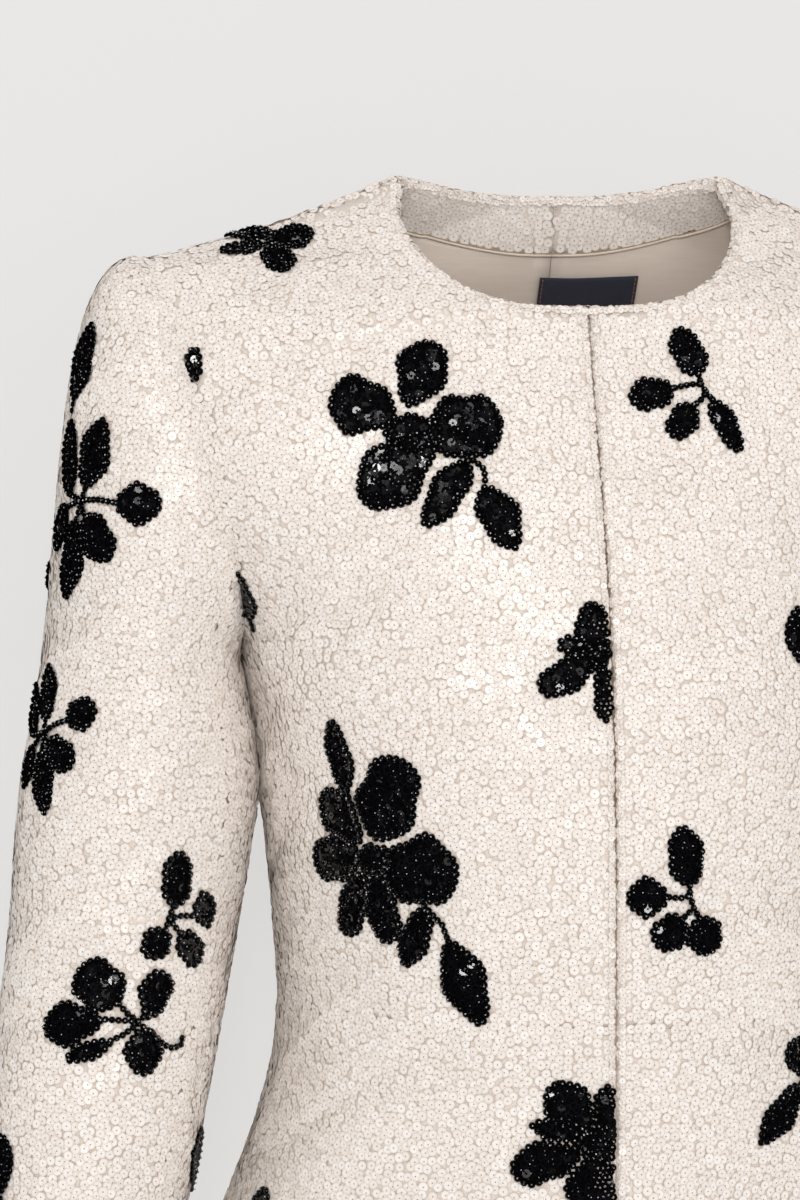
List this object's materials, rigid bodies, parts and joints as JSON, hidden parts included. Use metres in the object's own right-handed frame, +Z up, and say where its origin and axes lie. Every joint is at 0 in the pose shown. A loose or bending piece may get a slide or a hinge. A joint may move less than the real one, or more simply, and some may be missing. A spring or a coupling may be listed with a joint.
{
  "type": "peplum jacket",
  "caption": "Collarless round-neck jacket with long set-in sleeves, edge-to-edge front and a flared peplum, held in its worn, hollow form.",
  "frame": {"origin": "midway between the two points where the shoulder line meets the neck edge, where the wearer's shoulders hold the jacket up", "axes": "+X to the wearer's left, +Y to the wearer's back, +Z up"},
  "size_m": [0.598, 0.296, 0.6134],
  "materials": {
    "sequin_cloth": "ivory pearl sequins sewn all over a tan net",
    "black_beading": "black beads and sequins",
    "lining_satin": "beige satin",
    "woven_label": "dark navy woven tape, left bare"
  },
  "bodies": {
    "root": {"front_right": "sequin_cloth", "front_left": "sequin_cloth", "back_right": "sequin_cloth", "back_left": "sequin_cloth", "peplum_front_right": "sequin_cloth", "peplum_front_left": "sequin_cloth", "peplum_back_right": "sequin_cloth", "peplum_back_left": "sequin_cloth", "sleeve_right_upper": "sequin_cloth", "sleeve_right_under": "sequin_cloth", "sleeve_left_upper": "sequin_cloth", "sleeve_left_under": "sequin_cloth", "neck_facing_right": "sequin_cloth", "neck_facing_left": "sequin_cloth", "lining_back_right": "lining_satin", "lining_back_left": "lining_satin", "label": "woven_label"}
  },
  "joints": []
}
